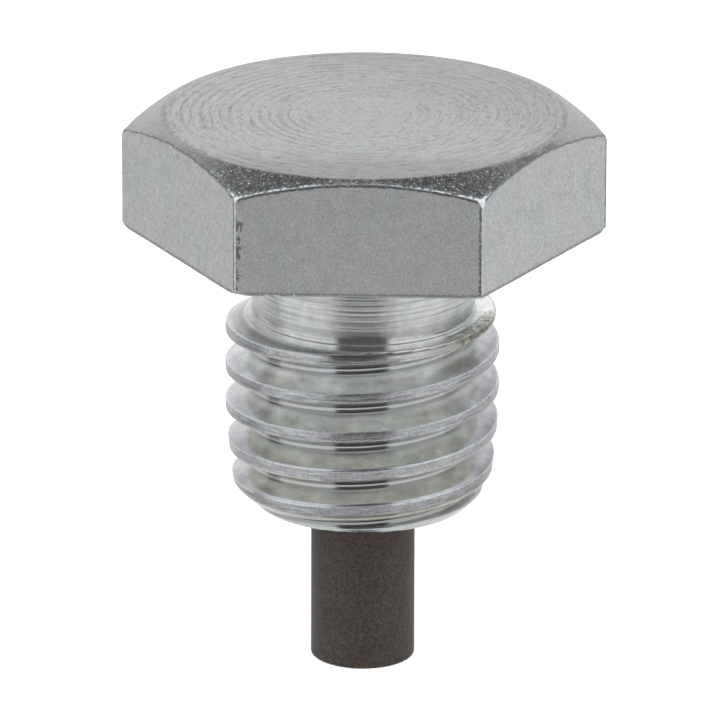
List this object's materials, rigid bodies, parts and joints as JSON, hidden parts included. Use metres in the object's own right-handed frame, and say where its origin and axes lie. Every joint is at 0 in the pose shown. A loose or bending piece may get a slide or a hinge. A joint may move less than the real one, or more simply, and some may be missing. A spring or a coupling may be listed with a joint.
{
  "type": "drain plug",
  "caption": "Hexagon head screw plug for a drain hole, zinc plated steel, with a turned relief under the head and a magnet rod held in the end of its thread.",
  "frame": {"origin": "on the axis of the plug, in the plane of the seat face under the head", "axes": "+Z along the axis from the thread towards the head, +X through a corner of the hexagon, -Y square to a flat of the hexagon"},
  "size_m": [0.0208, 0.018, 0.0246],
  "materials": {
    "zinc_plated_steel": "satin",
    "sintered_magnet": "matte"
  },
  "bodies": {
    "root": {"plug_body": "zinc_plated_steel", "magnet_rod": "sintered_magnet"}
  },
  "joints": []
}
